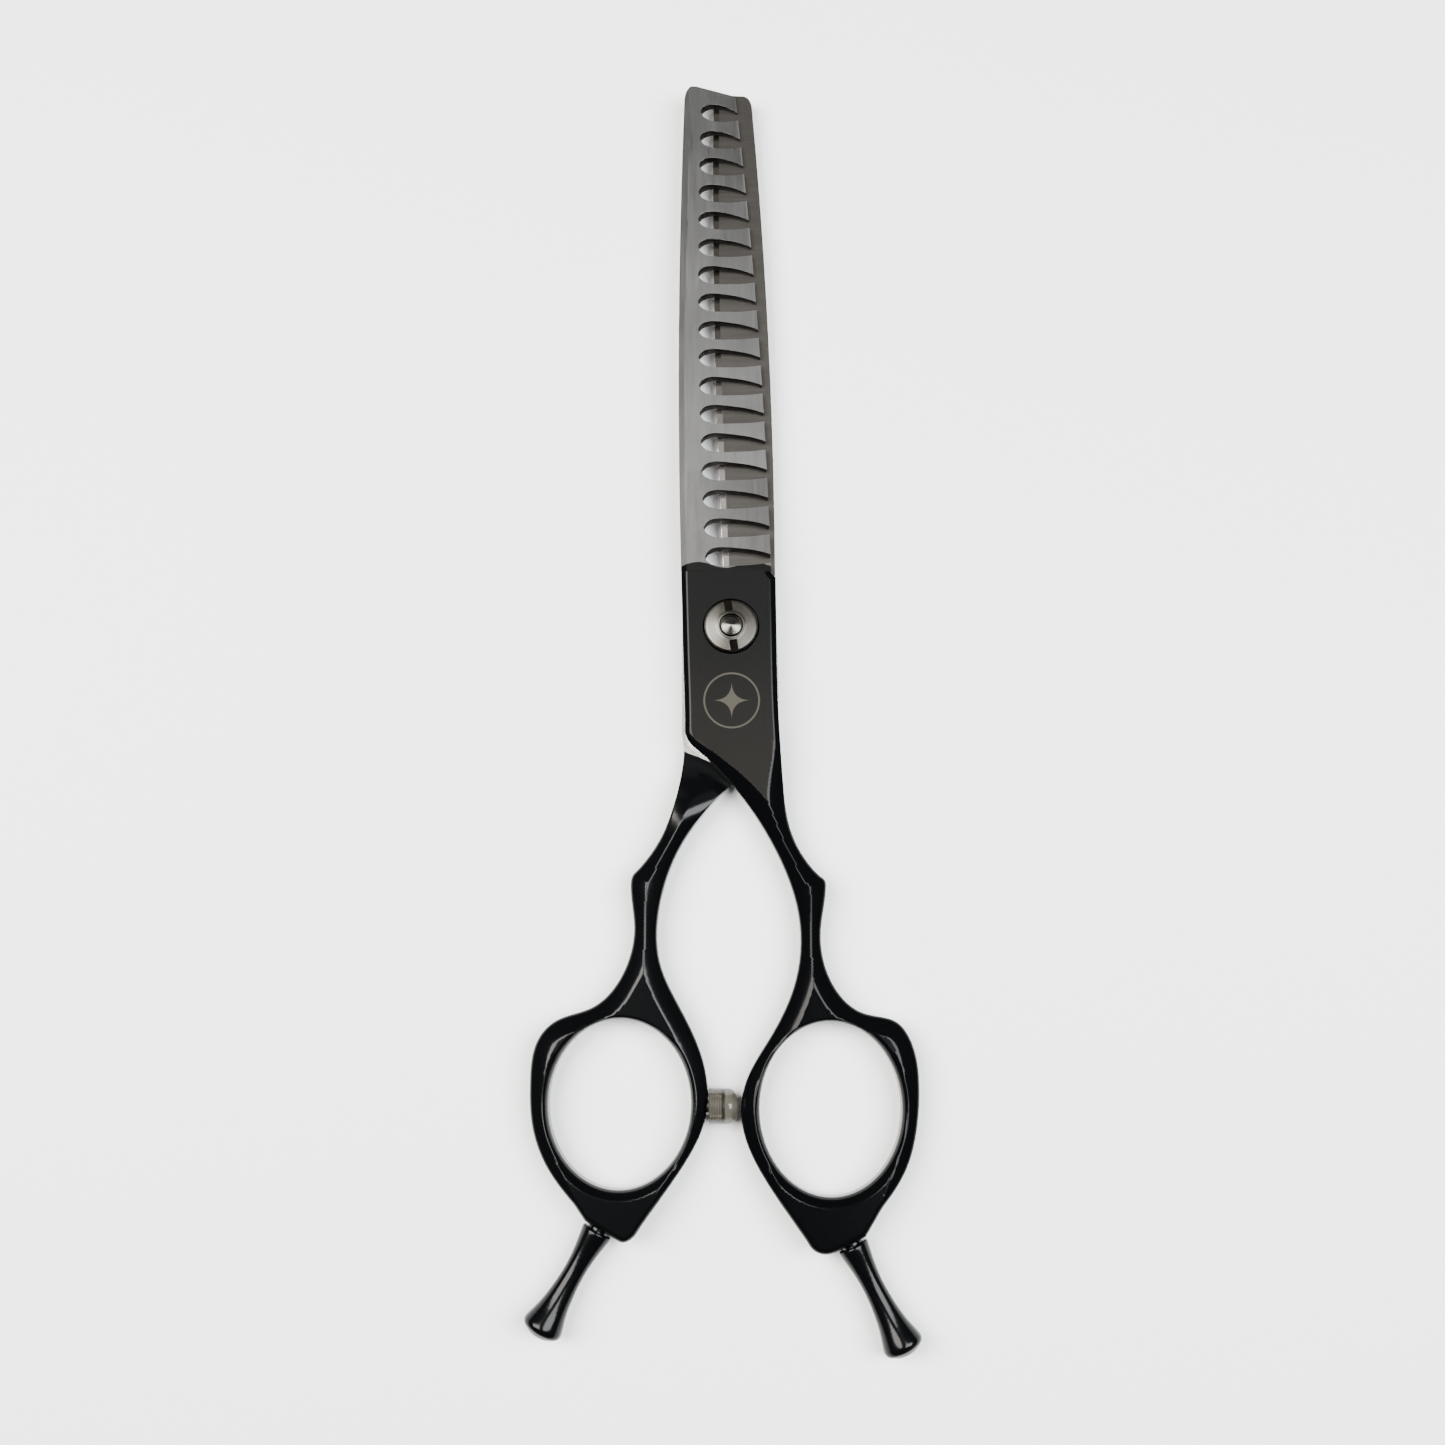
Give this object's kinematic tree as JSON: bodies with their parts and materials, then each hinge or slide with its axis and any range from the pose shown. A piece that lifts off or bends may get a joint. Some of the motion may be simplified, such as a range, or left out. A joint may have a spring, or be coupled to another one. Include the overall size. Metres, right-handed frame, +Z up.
{
  "type": "thinning shears",
  "caption": "Hairdresser's thinning shears: a toothed blade over a straight cutting blade on a slotted pivot nut, with two finger rings, screw-in finger rests and a clear bumper.",
  "frame": {"origin": "pivot axis at the underside of the pivot post's head, on the surface the shears lie on", "axes": "+Y from the pivot towards the blade tips, +Z up along the pivot through the tension nut, +X towards the cutting blade's spine"},
  "size_m": [0.0568, 0.1918, 0.0072],
  "materials": {
    "polished_steel": "satin polished blade steel",
    "black_coating": "gloss black coating",
    "turned_steel": "turned and polished",
    "bronze": "machined",
    "white_washer": "matte",
    "clear_silicone": "clear rubber",
    "black_gloss_rest": "gloss black"
  },
  "bodies": {
    "back_half": {"cutting_blade": "polished_steel", "back_handle": "black_coating", "pivot_post": "turned_steel", "ride_washer": "white_washer", "bumper_stud": "turned_steel", "bumper_cap": "clear_silicone", "spring_washer": "turned_steel"},
    "front_half": {"toothed_blade": "polished_steel", "front_handle": "black_coating", "pivot_bush": "bronze", "friction_washer": "bronze"},
    "nut": {"tension_nut": "turned_steel"},
    "left_rest": {"left_finger_rest": "black_gloss_rest"},
    "right_rest": {"right_finger_rest": "black_gloss_rest"}
  },
  "joints": [
    {"name": "blade_pivot", "type": "hinge", "parent": "back_half", "child": "front_half", "pos_m": [0, 0, 0.0034], "axis": [0, 0, 1], "range_deg": [0, 130]},
    {"name": "tension_turn", "type": "hinge", "parent": "back_half", "child": "nut", "pos_m": [0, 0, 0.0055], "axis": [0, 0, 1], "range_deg": [-180, 180]},
    {"name": "left_rest_unscrew", "type": "slide", "parent": "back_half", "child": "left_rest", "axis": [-0.5045, -0.8634, 0], "range_m": [0, 0.0046]},
    {"name": "right_rest_unscrew", "type": "slide", "parent": "front_half", "child": "right_rest", "axis": [0.454, -0.891, 0], "range_m": [0, 0.0046]}
  ]
}
